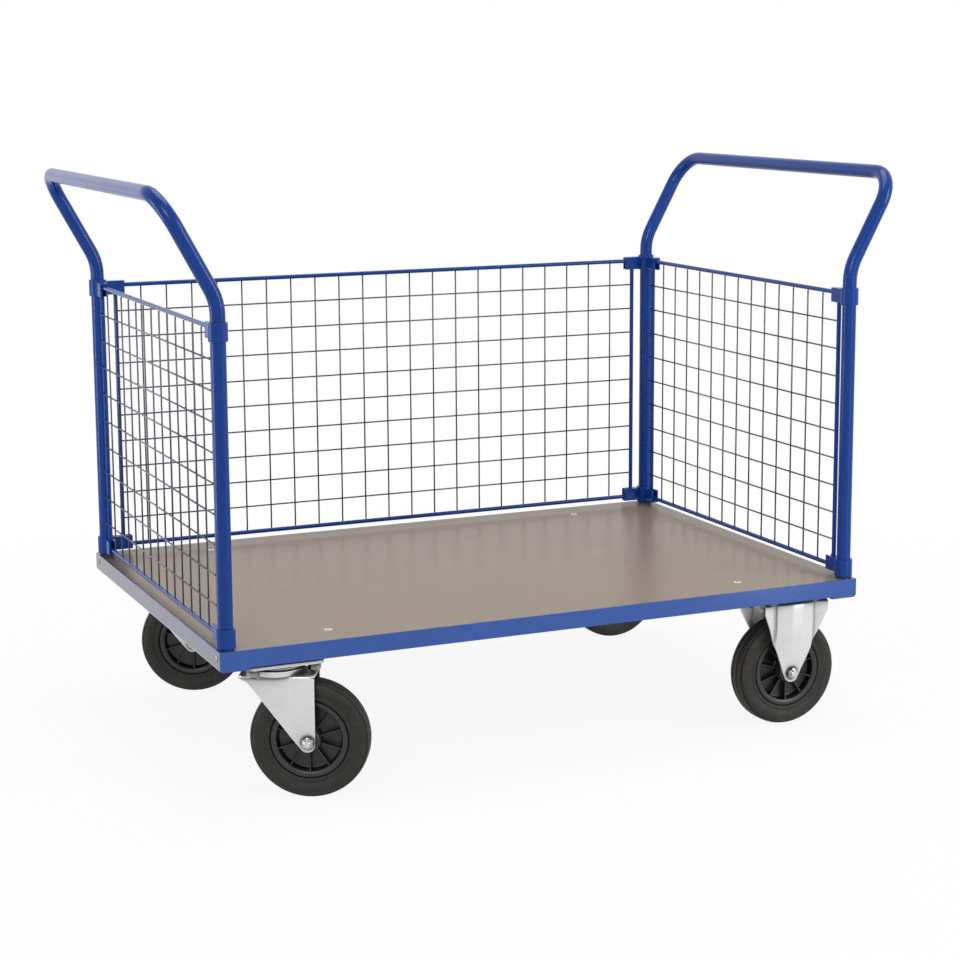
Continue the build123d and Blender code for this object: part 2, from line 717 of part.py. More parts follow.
def swivel_castor(name, x, y, angle):
    """A plate and kingpin on the frame, and a fork with a trailing wheel that turns on them."""
    base = turned_plane(x, y, angle)
    square = Plane(origin=(x, y, 0), z_dir=UP)
    upright = upright_plane(base)
    axle = -base.y_dir
    wheel_centre = base.from_local_coords((swivel_trail, 0, wheel_radius))
    race_radius = race_diameter / 2
    kingpin_radius = kingpin_diameter / 2
    with BuildPart() as plate:
        with BuildSketch(square.offset(plate_bottom)):
            plate_outline(swivel_hole_spacing_y)
        extrude(amount=plate_thickness)
        with BuildSketch(square.offset(race_floor)):
            Circle(race_radius)
        extrude(amount=race_depth)
        with BuildSketch(square.offset(crown_top + race_lip_gap)):
            Circle(race_radius)
            Circle(race_radius - race_wall, mode=Mode.SUBTRACT)
        extrude(amount=race_floor - crown_top - race_lip_gap)
        race_lip = plate.edges().group_by(Axis.Z)[0].sort_by(SortBy.RADIUS)[-1]
        fillet(race_lip, race_lip_radius)
        with BuildSketch(square.offset(race_floor)):
            Circle(kingpin_radius)
        extrude(amount=race_depth + plate_thickness, mode=Mode.SUBTRACT)
    save(plate.part, f"{name}_castor_plate")

    with BuildPart() as bearing:
        with BuildSketch(base.offset(crown_top)):
            Circle(race_radius - race_wall - 2 * running_gap)
            Circle(bearing_inner_diameter / 2, mode=Mode.SUBTRACT)
        extrude(amount=bearing_thickness)
    save(bearing.part, f"{name}_swivel_bearing")

    nut_top = crown_bottom - running_gap
    with BuildPart() as kingpin:
        with BuildSketch(square.offset(nut_top - kingpin_nut_height - kingpin_end)):
            Circle(kingpin_radius)
        extrude(amount=castor_height - nut_top + kingpin_nut_height + kingpin_end)
    save(kingpin.part, f"{name}_kingpin")

    with BuildPart() as kingpin_nut:
        with BuildSketch(square.offset(nut_top - kingpin_nut_height)):
            RegularPolygon(hexagon_width(kingpin_nut_width), 6)
            Circle(kingpin_radius, mode=Mode.SUBTRACT)
        extrude(amount=kingpin_nut_height)
    save(kingpin_nut.part, f"{name}_kingpin_nut")

    crown_back = swivel_trail + leg_edge_margin
    fold_x = swivel_trail - swivel_fold
    crown_tip = crown_front + crown_lip
    section = [
        (-crown_tip, fork_outer / 2 - swivel_fold_depth),
        (fold_x, fork_outer / 2),
        (crown_back, fork_outer / 2),
    ]
    with BuildPart() as fork:
        folded_legs(base, section, wheel_radius, crown_bottom, 0)
        extrude(
            leg_hull(
                upright,
                crown_back - leg_tip_radius,
                -crown_front,
                crown_back,
                crown_shoulder - leg_shoulder,
                crown_bottom,
                crown_lip,
            ),
            amount=fork_outer,
            both=True,
            mode=Mode.INTERSECT,
        )
        with BuildSketch(base.offset(crown_bottom)):
            with Locations(((crown_back - crown_tip) / 2, 0)):
                RectangleRounded(crown_back + crown_tip, fork_outer, crown_corner_radius)
        extrude(amount=crown_thickness)
        fillet(fork.edges().group_by(Axis.Z)[-1], crown_bend_radius)
        with Locations((x, y, crown_shoulder)):
            Cone(
                crown_neck_diameter / 2,
                crown_rim_diameter / 2,
                crown_rise,
                align=(Align.CENTER, Align.CENTER, Align.MIN),
            )
        with BuildSketch(base.offset(crown_bottom)):
            Circle(kingpin_radius + running_fit)
        extrude(amount=crown_top - crown_bottom, mode=Mode.SUBTRACT)
        with BuildSketch(upright):
            with Locations((swivel_trail, wheel_radius)):
                Circle(axle_bolt_diameter / 2)
        extrude(amount=fork_outer, both=True, mode=Mode.SUBTRACT)
    save(fork.part, f"{name}_fork")

    axle_pieces(name, wheel_centre, axle)
    wheel(name, wheel_centre, axle)


def fixed_castor(name, x, y):
    """A pressed bracket, its plate and two legs in one piece, with the wheel under its middle."""
    base = turned_plane(x, y, 0)
    upright = upright_plane(base)
    axle = -base.y_dir
    wheel_centre = base.from_local_coords((0, 0, wheel_radius))
    half_top = fixed_leg_top_width / 2
    half_panel = fixed_panel_width / 2
    half_flat = fixed_flat_width / 2
    panel_edge = fork_outer / 2 - fixed_panel_slope
    flange = panel_edge - fixed_panel_step
    section = [
        (-half_top, flange),
        (-half_panel - fixed_panel_step, flange),
        (-half_panel, panel_edge),
        (-half_flat, fork_outer / 2),
        (half_flat, fork_outer / 2),
        (half_panel, panel_edge),
        (half_panel + fixed_panel_step, flange),
        (half_top, flange),
    ]
    with BuildPart() as bracket:
        knee = wheel_radius + fixed_leg_knee
        folded_legs(base, section, knee, plate_bottom, fixed_leg_spread)
        extrude(
            leg_hull(upright, 0, -half_top, half_top, plate_bottom - leg_shoulder, plate_bottom),
            amount=plate_width,
            both=True,
            mode=Mode.INTERSECT,
        )
        with BuildSketch(base.offset(plate_bottom)):
            plate_outline(fixed_hole_spacing_y)
        extrude(amount=plate_thickness)
        with BuildSketch(upright):
            with Locations((0, wheel_radius)):
                Circle(axle_bolt_diameter / 2)
        extrude(amount=fork_outer, both=True, mode=Mode.SUBTRACT)
    save(bracket.part, f"{name}_castor_bracket")

    axle_pieces(name, wheel_centre, axle)
    wheel(name, wheel_centre, axle)


swivel_castor("front_left", -castor_x, -castor_y, front_swivel_angle)
swivel_castor("rear_left", -castor_x, castor_y, rear_swivel_angle)
fixed_castor("front_right", castor_x, -castor_y)
fixed_castor("rear_right", castor_x, castor_y)
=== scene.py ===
import json
import math

import bmesh
import bpy
from mathutils import Matrix, Vector

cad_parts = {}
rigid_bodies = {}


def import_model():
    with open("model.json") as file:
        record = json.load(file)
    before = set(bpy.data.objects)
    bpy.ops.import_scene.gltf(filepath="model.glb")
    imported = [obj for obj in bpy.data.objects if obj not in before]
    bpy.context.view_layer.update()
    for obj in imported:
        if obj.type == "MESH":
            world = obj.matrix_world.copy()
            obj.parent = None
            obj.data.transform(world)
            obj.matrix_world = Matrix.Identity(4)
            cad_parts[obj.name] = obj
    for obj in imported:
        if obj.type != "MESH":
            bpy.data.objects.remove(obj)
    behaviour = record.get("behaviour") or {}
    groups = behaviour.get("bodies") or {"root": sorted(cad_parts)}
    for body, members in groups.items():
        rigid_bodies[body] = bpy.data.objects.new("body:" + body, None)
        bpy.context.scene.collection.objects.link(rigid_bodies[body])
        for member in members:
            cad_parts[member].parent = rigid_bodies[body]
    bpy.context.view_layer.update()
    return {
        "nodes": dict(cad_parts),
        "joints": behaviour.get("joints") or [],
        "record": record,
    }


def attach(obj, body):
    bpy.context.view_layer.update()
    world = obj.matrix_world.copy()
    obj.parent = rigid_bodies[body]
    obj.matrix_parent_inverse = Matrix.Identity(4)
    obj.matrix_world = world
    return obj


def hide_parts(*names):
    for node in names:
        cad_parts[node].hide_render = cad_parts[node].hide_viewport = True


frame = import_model()
scene = bpy.context.scene
scene.view_settings.view_transform = "Standard"
MM = 0.001


# Node helpers

class Shader:
    """A material with short calls for the nodes that it is made of."""

    def __init__(self, name):
        self.material = bpy.data.materials.new(name)
        self.material.use_nodes = True
        self.tree = self.material.node_tree
        self.surface = self.tree.nodes["Principled BSDF"]
        self.place = self.add("ShaderNodeTexCoord").outputs["Object"]

    def add(self, kind, **settings):
        node = self.tree.nodes.new(kind)
        for key, value in settings.items():
            setattr(node, key, value)
        return node

    def join(self, source, target):
        self.tree.links.new(source, target)

    def stretched(self, factors):
        """Object coordinates in metres, times a factor for each axis."""
        node = self.add("ShaderNodeVectorMath", operation="MULTIPLY")
        self.join(self.place, node.inputs[0])
        node.inputs[1].default_value = factors
        return node.outputs[0]

    def noise(self, scale, detail, vector=None, distortion=0.0):
        node = self.add("ShaderNodeTexNoise")
        self.join(vector or self.place, node.inputs["Vector"])
        node.inputs["Scale"].default_value = scale
        node.inputs["Detail"].default_value = detail
        node.inputs["Distortion"].default_value = distortion
        return node.outputs["Fac"]

    def cells(self, scale):
        node = self.add("ShaderNodeTexVoronoi")
        self.join(self.place, node.inputs["Vector"])
        node.inputs["Scale"].default_value = scale
        return node.outputs["Color"]

    def fit(self, value, low, high, to_low=0.0, to_high=1.0):
        node = self.add("ShaderNodeMapRange")
        self.join(value, node.inputs["Value"])
        node.inputs["From Min"].default_value = low
        node.inputs["From Max"].default_value = high
        node.inputs["To Min"].default_value = to_low
        node.inputs["To Max"].default_value = to_high
        return node.outputs["Result"]

    def math(self, operation, first, second):
        node = self.add("ShaderNodeMath", operation=operation)
        for socket, value in zip(node.inputs, (first, second)):
            if isinstance(value, float):
                socket.default_value = value
            else:
                self.join(value, socket)
        return node.outputs[0]

    def mix(self, factor, first, second):
        """Mix two colours, each a colour or a socket, by a socket."""
        node = self.add("ShaderNodeMix", data_type="RGBA")
        self.join(factor, node.inputs[0])
        for socket, value in zip((node.inputs[6], node.inputs[7]), (first, second)):
            if isinstance(value, tuple):
                socket.default_value = (*value, 1.0)
            else:
                self.join(value, socket)
        return node.outputs[2]

    def lay(self, under, over, mask, strength):
        """Lay a colour over another where a mask is, at a strength."""
        return self.mix(self.math("MULTIPLY", mask, strength), under, over)

    def edges(self, radius, start=0.02, full=0.3):
        """A mask that is 1 on edges, and the normal that rounds them."""
        bevel = self.add("ShaderNodeBevel", samples=6)
        bevel.inputs["Radius"].default_value = radius
        flat = self.add("ShaderNodeNewGeometry")
        dot = self.add("ShaderNodeVectorMath", operation="DOT_PRODUCT")
        self.join(bevel.outputs["Normal"], dot.inputs[0])
        self.join(flat.outputs["Normal"], dot.inputs[1])
        mask = self.fit(dot.outputs["Value"], 1.0 - start, 1.0 - full)
        return mask, bevel.outputs["Normal"]

    def painted_shade_mask(self, reach, dark=0.45, clear=0.92):
        """A mask for painted shade, from ambient occlusion: 1 in corners and gaps narrower than the
        reach, and 0 in the open.
        """
        node = self.add("ShaderNodeAmbientOcclusion", samples=12)
        node.inputs["Distance"].default_value = reach
        return self.fit(node.outputs["AO"], clear, dark)

    def bump(self, height, distance, strength, normal=None):
        node = self.add("ShaderNodeBump")
        self.join(height, node.inputs["Height"])
        node.inputs["Distance"].default_value = distance
        node.inputs["Strength"].default_value = strength
        if normal is not None:
            self.join(normal, node.inputs["Normal"])
        return node.outputs["Normal"]

    def finish(self, colour, roughness, normal, **constants):
        self.join(colour, self.surface.inputs["Base Color"])
        self.join(roughness, self.surface.inputs["Roughness"])
        self.join(normal, self.surface.inputs["Normal"])
        for key, value in constants.items():
            self.surface.inputs[key.replace("_", " ")].default_value = value
        return self.material


# Materials: lengths in metres, colours linear

# Grey of the painted reflection on frame paint seen at a slant.
SLANT_REFLECTION_GREY = (0.055, 0.042, 0.035)
PLASTIC_SHADE = (0.0025, 0.0025, 0.0024)
MOULD_RINGS = 3.9


def powder_coat(name, colour, edge_radius, gloss, peel_depth, slant_reflection=0.0, **constants):
    """Powder coat: cloudy colour, orange peel, paler edges and, if asked, a painted grey reflection
    at a slant.
    """
    s = Shader(name)
    r, g, b = colour
    clouds = s.fit(s.noise(7.0, 4.0), 0.3, 0.7)
    body = s.mix(clouds, (r * 0.9, g * 0.92, b * 0.94), (r * 1.1, g * 1.08, b * 1.06))
    specks = s.fit(s.noise(1400.0, 2.0), 0.62, 0.75)
    body = s.lay(body, (r + 0.03, g + 0.05, b + 0.08), specks, 0.12)
    worn, rounded = s.edges(edge_radius)
    worn = s.math("MULTIPLY", worn, s.fit(s.noise(60.0, 5.0), 0.35, 0.7, 0.05, 0.45))
    body = s.mix(worn, body, (r + 0.05, g + 0.09, b + 0.16))
    if slant_reflection:
        # Painted reflection: the base colour turns grey where a face is seen at a slant.
        slant_facing = s.add("ShaderNodeLayerWeight").outputs["Facing"]
        body = s.mix(s.fit(slant_facing, 0.5, 0.85, 0.0, slant_reflection), body, SLANT_REFLECTION_GREY)
    rough = s.fit(s.noise(24.0, 4.0), 0.3, 0.7, *gloss)
    peel = s.bump(s.noise(520.0, 2.0), peel_depth, 0.45, rounded)
    return s.finish(body, rough, peel, **constants)


def film_board(name):
    """Film-faced board: satin brown film with faint streaks, clouds and specks, cut plies, and
    painted shade in corners and under parts.
    """
    s = Shader(name)
    streaks = s.fit(s.noise(4.0, 5.0, s.stretched((6.0, 1.0, 1.0))), 0.25, 0.75)
    body = s.mix(streaks, (0.216, 0.158, 0.108), (0.228, 0.168, 0.116))
    clouds = s.fit(s.noise(2.6, 3.0), 0.35, 0.65)
    body = s.lay(body, (0.242, 0.18, 0.126), clouds, 0.35)
    specks = s.fit(s.noise(420.0, 1.0), 0.77, 0.84)
    body = s.lay(body, (0.12, 0.09, 0.068), specks, 0.25)
    facing = s.add("ShaderNodeSeparateXYZ")
    s.join(s.add("ShaderNodeNewGeometry").outputs["Normal"], facing.inputs[0])
    layers = s.fit(s.noise(1.0, 0.0, s.stretched((4.0, 4.0, 640.0))), 0.42, 0.58)
    plies = s.mix(layers, (0.17, 0.105, 0.055), (0.42, 0.29, 0.16))
    side = s.fit(s.math("ABSOLUTE", facing.outputs["Z"], 0.0), 0.7, 0.5)
    body = s.mix(side, body, plies)
    # Painted shade: the film is darker in corners, along gaps and under parts.
    body = s.lay(body, (0.07, 0.055, 0.042), s.painted_shade_mask(0.03, 0.55, 0.97), 0.6)
    rough = s.fit(s.noise(6.0, 4.0), 0.3, 0.7, 0.29, 0.32)
    grain = s.bump(s.noise(900.0, 2.0), 0.00003, 0.2)
    return s.finish(body, rough, grain, Specular_IOR_Level=0.3)


def zinc(name, colour, dull, edge_radius, metallic):
    """Zinc-plated steel: soft spangle, rolled grain, warm tints, painted highlights on edges and
    painted shade in gaps and folds.
    """
    s = Shader(name)
    r, g, b = colour
    spangle = s.add("ShaderNodeSeparateXYZ")
    s.join(s.cells(170.0), spangle.inputs[0])
    blotch = s.fit(s.noise(16.0, 4.0), 0.3, 0.7)
    body = s.mix(blotch, (r * 0.93, g * 0.93, b * 0.925), (r * 1.05, g * 1.05, b * 1.05))
    body = s.lay(body, (r * 0.8, g * 0.82, b * 0.85), spangle.outputs["X"], 0.1)
    tint = s.fit(s.noise(8.0, 2.0), 0.45, 0.75)
    body = s.lay(body, (r, g * 0.985, b * 0.92), tint, 0.2)
    edge_highlight, rounded = s.edges(edge_radius, 0.0005, 0.004)
    # Painted highlight: edges and shallow folds are lightened.
    body = s.lay(body, (0.93, 0.93, 0.92), edge_highlight, 0.6)
    # Painted shade: darker in narrow gaps and contact lines.
    gap_shade = s.painted_shade_mask(0.007, 0.8, 0.93)
    body = s.lay(body, (r * 0.2, g * 0.2, b * 0.19), gap_shade, 0.85)
    # Painted shade: darker in folds and under neighbouring parts.
    folds = s.painted_shade_mask(0.022, 0.5, 0.96)
    body = s.lay(body, (r * 0.12, g * 0.118, b * 0.11), folds, 0.85)
    rough = s.fit(s.noise(55.0, 5.0), 0.3, 0.7, *dull)
    rolled = s.bump(s.noise(260.0, 3.0, s.stretched((1.0, 1.0, 6.0))), 0.00006, 0.5, rounded)
    return s.finish(body, rough, rolled, Metallic=metallic)


def rubber(name):
    """Moulded black rubber: dusty bloom, fine grain, faint mould rings on the sidewall and painted
    shade in grooves.
    """
    s = Shader(name)
    clouds = s.fit(s.noise(18.0, 5.0), 0.3, 0.7)
    body = s.mix(clouds, (0.014, 0.0136, 0.0112), (0.023, 0.0222, 0.0185))
    dust = s.fit(s.noise(75.0, 6.0), 0.52, 0.75)
    body = s.lay(body, (0.06, 0.056, 0.048), dust, 0.3)
    rough = s.fit(s.noise(120.0, 4.0), 0.3, 0.7, 0.5, 0.66)
    grain = s.bump(s.noise(1500.0, 3.0), 0.0002, 0.4)
    reach = s.add("ShaderNodeAttribute", attribute_name="ring").outputs["Fac"]
    rings = s.math("SINE", s.math("MULTIPLY", reach, MOULD_RINGS), 0.0)
    moulded = s.bump(rings, 0.00006, 0.5, grain)
    # Painted shade: darker in the grooves.
    body = s.lay(body, (0.002, 0.002, 0.0018), s.painted_shade_mask(0.005), 0.85)
    return s.finish(body, rough, moulded, Specular_IOR_Level=0.3)


def moulded_plastic(name):
    """Black moulded plastic with fine spark texture, faint flow marks and painted shade in
    recesses.
    """
    s = Shader(name)
    flow = s.fit(s.noise(30.0, 3.0, distortion=1.2), 0.35, 0.65)
    body = s.mix(flow, (0.015, 0.015, 0.0143), (0.022, 0.022, 0.021))
    worn, rounded = s.edges(0.0006)
    body = s.lay(body, (0.07, 0.07, 0.067), worn, 0.5)
    # Painted shade: darker in recesses.
    body = s.mix(s.painted_shade_mask(0.03, 0.4, 0.92), body, PLASTIC_SHADE)
    rough = s.fit(s.noise(90.0, 4.0), 0.3, 0.7, 0.28, 0.4)
    spark = s.bump(s.noise(1900.0, 2.0), 0.0001, 0.35, rounded)
    return s.finish(body, rough, spark, Specular_IOR_Level=0.45)


tube_gloss = {"gloss": (0.13, 0.18), "peel_depth": 0.00002, "Specular_IOR_Level": 0.2}
slot_materials = {
    "deck_board": film_board("deck_film"),
    "frame_paint": powder_coat(
        "frame_powder",
        (0.004, 0.062, 0.31),
        0.0014,
        (0.24, 0.34),
        0.0002,
        # Painted grey reflection at a slant, at full strength.
        slant_reflection=1.0,
        Coat_Weight=0.85,
        Coat_Roughness=0.2,
        Coat_IOR=1.55,
        Specular_IOR_Level=0.15,
    ),
    "handle_paint": powder_coat("handle_powder", (0.003, 0.039, 0.23), 0.0005, **tube_gloss),
    "panel_paint": powder_coat("panel_powder", (0.003, 0.039, 0.225), 0.0004, **tube_gloss),
    "clip_paint": powder_coat("clip_powder", (0.003, 0.042, 0.24), 0.001, **tube_gloss),
    "wire_paint": powder_coat(
        "wire_powder",
        (0.011, 0.016, 0.042),
        0.0003,
        (0.16, 0.24),
        0.00002,
        Specular_IOR_Level=0.8,
    ),
    "tyre_rubber": rubber("tyre_rubber"),
    "rim_plastic": moulded_plastic("rim_plastic"),
    "castor_zinc": zinc("castor_zinc", (0.68, 0.685, 0.68), (0.26, 0.38), 0.0022, 0.45),
    "axle_steel": zinc("axle_zinc", (0.62, 0.62, 0.61), (0.18, 0.3), 0.0004, 0.7),
    "deck_bolt_steel": zinc("bolt_zinc", (0.82, 0.82, 0.8), (0.22, 0.34), 0.0004, 0.7),
    "castor_bolt_steel": zinc("bolt_dull", (0.3, 0.3, 0.29), (0.28, 0.4), 0.0005, 0.8),
    "screw_brass": zinc("screw_yellow", (0.45, 0.3, 0.18), (0.3, 0.42), 0.0004, 0.8),
    "inner_steel": zinc("turned_steel", (0.5, 0.5, 0.5), (0.25, 0.38), 0.0005, 0.9),
}
slot_of = {entry["node"]: entry["material_slot"] for entry in frame["record"]["subparts"]}
for node, piece in frame["nodes"].items():
    piece.data.materials.clear()
    piece.data.materials.append(slot_materials[slot_of[node]])


# Mesh helpers: sizes in millimetres, set in place by a matrix that also turns them into metres

DOWN = (0, 0, -1)
HEX_STEPS = 72
HEX_FACE = 0.95
THREAD_STEPS = 36
WIRE_SIDES = 12
WELD_DISTANCE = 1e-7


def spot(position, along=(0.0, 0.0, 1.0), across=None):
    """A place at a position in millimetres, with its Z axis along a direction."""
    z = Vector(along).normalized()
    x = Vector(across) if across else z.orthogonal()
    x = (x - z * x.dot(z)).normalized()
    turn = Matrix((x, z.cross(x), z)).transposed().to_4x4()
    return Matrix.Scale(MM, 4) @ Matrix.Translation(position) @ turn


def soften(corners, steps=3):
    """A path of (along, radius, reach) corners as points, each corner rounded over its reach."""
    path = [Vector(corners[0][:2])]
    for before, corner, after in zip(corners, corners[1:], corners[2:]):
        tip = Vector(corner[:2])
        start = tip + (Vector(before[:2]) - tip).normalized() * corner[2]
        end = tip + (Vector(after[:2]) - tip).normalized() * corner[2]
        for i in range(steps + 1):
            t = i / steps
            path.append(start.lerp(tip, t).lerp(tip.lerp(end, t), t))
    path.append(Vector(corners[-1][:2]))
    return path


def shank(low, high, radius):
    """The path of a plain round bar, closed at both ends."""
    return [(low, 0.0), (low, radius), (high, radius), (high, 0.0)]


def circle(steps):
    """Even turns round a circle."""
    return [2 * math.pi * i / steps for i in range(steps)]


def skin(mesh, rings, capped=False):
    """Join rings of points into a tube of quads, with or without a face on each end."""
    made = [[mesh.verts.new(point) for point in ring] for ring in rings]
    for low, high in zip(made, made[1:]):
        for i in range(len(low)):
            mesh.faces.new((low[i - 1], low[i], high[i], high[i - 1]))
    if capped:
        mesh.faces.new(made[0])
        mesh.faces.new(made[-1])


def lathe(mesh, place, path, segments):
    """Turn a path of (along, radius) points about a place's Z axis."""
    turns = circle(segments)
    rings = [
        [place @ Vector((r * math.cos(t), r * math.sin(t), z)) for t in turns]
        for z, r in path
    ]
    skin(mesh, rings)


def hexagon(mesh, place, width, low, high, bore=0.0):
    """A hexagon along a place's Z axis, with both ends turned to a cone as on a forged nut."""
    half = width / 2
    face = half * HEX_FACE
    turns = circle(HEX_STEPS)
    sides = [half / math.cos(t % (math.pi / 3) - math.pi / 6) for t in turns]
    cuts = [(side - face) * math.tan(math.pi / 6) for side in sides]
    rows = [
        [(bore, low)] * HEX_STEPS,
        [(face, low)] * HEX_STEPS,
        [(side, low + cut) for side, cut in zip(sides, cuts)],
        [(side, high - cut) for side, cut in zip(sides, cuts)],
        [(face, high)] * HEX_STEPS,
        [(bore, high)] * HEX_STEPS,
    ]
    if bore:
        rows.append(rows[0])
    rings = [
        [place @ Vector((r * math.cos(t), r * math.sin(t), z)) for t, (r, z) in zip(turns, row)]
        for row in rows
    ]
    skin(mesh, rings)


def thread(mesh, place, radius, low, high, pitch=1.75):
    """A threaded end with a chamfered tip, from low up to high."""
    depth = pitch * 0.5
    path = [(low, 0.0), (low, radius)]
    z = low
    while z + pitch < high - depth:
        path.append((z + pitch * 0.45, radius))
        path.append((z + pitch * 0.7, radius - depth))
        path.append((z + pitch, radius))
        z += pitch
    path += [(high - depth, radius), (high, radius - depth), (high, 0.0)]
    lathe(mesh, place, path, THREAD_STEPS)


def rod(mesh, start, end, radius):
    """A round wire between two points in metres, with cut and slightly broken ends."""
    start, end = Vector(start), Vector(end)
    turn = spot((0, 0, 0), end - start).to_3x3().normalized()
    length = (end - start).length
    rim = radius * 0.2
    rows = (
        (0, 0),
        (0, radius - rim),
        (rim, radius),
        (length - rim, radius),
        (length, radius - rim),
        (length, 0),
    )
    turns = circle(WIRE_SIDES)
    rings = [
        [start + turn @ Vector((r * math.cos(t), r * math.sin(t), z)) for t in turns]
        for z, r in rows
    ]
    skin(mesh, rings)


def put(name, mesh, slot, body, *nodes, crease=32.0):
    """Make a piece from a mesh: smooth but for sharp edges, in a slot's finish, on a body."""
    bmesh.ops.remove_doubles(mesh, verts=mesh.verts, dist=WELD_DISTANCE)
    bmesh.ops.recalc_face_normals(mesh, faces=mesh.faces)
    data = bpy.data.meshes.new(name)
    mesh.to_mesh(data)
    mesh.free()
    data.polygons.foreach_set("use_smooth", [True] * len(data.polygons))
    data.set_sharp_from_angle(angle=math.radians(crease))
    data.materials.append(slot_materials[slot])
    piece = bpy.data.objects.new(name, data)
    scene.collection.objects.link(piece)
    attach(piece, body)
    if nodes:
        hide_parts(*nodes)
    return piece


# Wheels: tyres, ribbed rims and axle fasteners, as (along the axle, radius, rounding)

TYRE_HALF = [
    (0, 64.7, 0),
    (15.6, 64.7, 0.6),
    (18.6, 66.6, 0.5),
    (19.7, 69.0, 0.8),
    (19.7, 71.8, 0.8),
    (18.8, 73.2, 0.6),
    (19.3, 74.8, 0.6),
    (20.9, 80.0, 2.0),
    (22.0, 88.0, 3.0),
    (20.2, 92.9, 0.8),
    (19.0, 95.0, 0.5),
    (18.3, 93.2, 0.4),
    (16.6, 93.8, 0.4),
    (16.2, 97.8, 0.5),
    (11.0, 99.6, 1.0),
    (8.2, 99.9, 0.5),
    (7.7, 97.4, 0.4),
    (5.3, 97.4, 0.4),
    (4.8, 100.0, 0.5),
    (0, 100.0, 0),
]
RIM_HALF = [
    (0, 64.6, 0),
    (17.4, 64.6, 0.5),
    (18.6, 63.6, 0.6),
    (18.9, 61.0, 0.6),
    (18.3, 57.6, 0.8),
    (17.2, 55.2, 0.9),
    (15.6, 54.6, 0.6),
    (3.2, 52.4, 2.0),
    (3.0, 21.0, 2.0),
    (26.5, 19.9, 1.2),
    (28.9, 18.2, 0.6),
    (28.9, 12.4, 0.4),
    (28.2, 10.1, 0.2),
    (0, 10.1, 0),
]
TYRE_STEPS, RIM_STEPS = 144, 120
RIBS = 10
RIB_FOOT = 2.6
RIB_TOPS = ((19.0, 15.6), (23.0, 15.0), (46.0, 14.4), (50.5, 14.8), (54.6, 15.4))
FORK = 34.0
AXLE_RADIUS, AXLE_BORE = 5.9, 6.0
AXLE_HEX, AXLE_HEX_HEIGHT = 18.0, 7.4
AXLE_THREAD = (6.0, 11.9)
NUT_COLLAR = [(6.8, 8.2, 0), (8.0, 8.2, 0.5), (9.8, 7.7, 0.8), (9.9, 6.2, 0.3), (8.6, 6.0, 0)]


def both_sides(half):
    """A turned outline's two halves, the second mirrored, as one path."""
    path = soften(half)
    return path + [Vector((-a, r)) for a, r in reversed(path)]


def rib(mesh, place, side):
    """One tapered rib between the hub and the rim's recess, rounded along its top."""
    rings = []
    for r, top in RIB_TOPS:
        half = [(1.75, RIB_FOOT), (1.5, top - 3), (1.3, top - 0.7), (0.75, top)]
        outline = half + [(-y, z) for y, z in reversed(half)]
        rings.append([place @ Vector((r, y, side * z)) for y, z in outline])
    skin(mesh, rings, capped=True)


joint_of = {joint["name"]: joint for joint in frame["joints"]}
for corner in ("front_left", "rear_left", "front_right", "rear_right"):
    spin = joint_of[f"{corner}_wheel_spin"]
    centre = Vector(spin["pos_m"])
    wheel = spot(centre / MM, spin["axis"], (0, 0, 1))
    tyre = bmesh.new()
    lathe(tyre, wheel, both_sides(TYRE_HALF), TYRE_STEPS)
    tyre = put(f"{corner}_tyre_moulded", tyre, "tyre_rubber", f"{corner}_wheel", f"{corner}_tyre")
    rings = tyre.data.attributes.new("ring", "FLOAT", "POINT")
    inward = wheel.inverted()
    rings.data.foreach_set("value", [(inward @ v.co).xy.length for v in tyre.data.vertices])
    rim = bmesh.new()
    lathe(rim, wheel, both_sides(RIM_HALF), RIM_STEPS)
    for turn in circle(RIBS):
        for side in (-1, 1):
            rib(rim, wheel @ Matrix.Rotation(turn, 4, "Z"), side)
    put(f"{corner}_rim_moulded", rim, "rim_plastic", f"{corner}_wheel", f"{corner}_rim")

    carrier = spin["parent"]
    nut = bmesh.new()
    hexagon(nut, wheel, AXLE_HEX, FORK, FORK + AXLE_HEX_HEIGHT, AXLE_BORE)
    collar = [(FORK + z, r, reach) for z, r, reach in NUT_COLLAR]
    lathe(nut, wheel, soften(collar + collar[:1]), 48)
    put(f"{corner}_lock_nut", nut, "axle_steel", carrier, f"{corner}_axle_nut")
    bolt = bmesh.new()
    hexagon(bolt, wheel, AXLE_HEX, -FORK - AXLE_HEX_HEIGHT, -FORK)
    lathe(bolt, wheel, shank(-FORK - 1.0, FORK + 5.9, AXLE_RADIUS), 36)
    thread(bolt, wheel, AXLE_RADIUS, *(FORK + z for z in AXLE_THREAD))
    put(f"{corner}_axle_hex_bolt", bolt, "axle_steel", carrier, f"{corner}_axle_bolt")


# Fixed castor brackets: legs that swell out above the axle, folded beside their middle, with
# wings turned out. Folds go by distance from the middle, swell and folding by height.

CASTOR = Vector((484.0, 338.0))
PLATE_LOW, PLATE_HIGH = 231.0, 236.0
PLATE_BREAK = 0.8
PLATE_SIZE, PLATE_CORNER = (132.0, 84.0), 12.0
CORNER_STEPS = 8
LEG_FOLDS = [(0, 0, 0), (11.0, 0, 4.0), (37.0, 9.0, 2.0), (40.0, 13.0, 1.6), (65.0, 3.5, 0)]
LEG_SWELL = [
    (80.0, 0, 0),
    (105.0, 0, 12.0),
    (176.0, 20.0, 20.0),
    (231.5, 20.0, 4.0),
    (236.0, 13.0, 0),
]
LEG_FOLDING = [(80.0, 0.12, 0), (118.0, 0.12, 8.0), (162.0, 1.0, 12.0), (236.0, 1.0, 0)]
LEG_THICKNESS = 4.0
LEG_TOPS = (222.0, 228.0, 230.5, 232.5, 234.0, 235.4)
TIP_CENTRE, TIP_RADIUS = 97.6, 14.6
TIP_STEPS, LEG_STEPS = 12, 32
SHOULDER_WIDTH, SHOULDER_HEIGHT = 65.0, 217.0


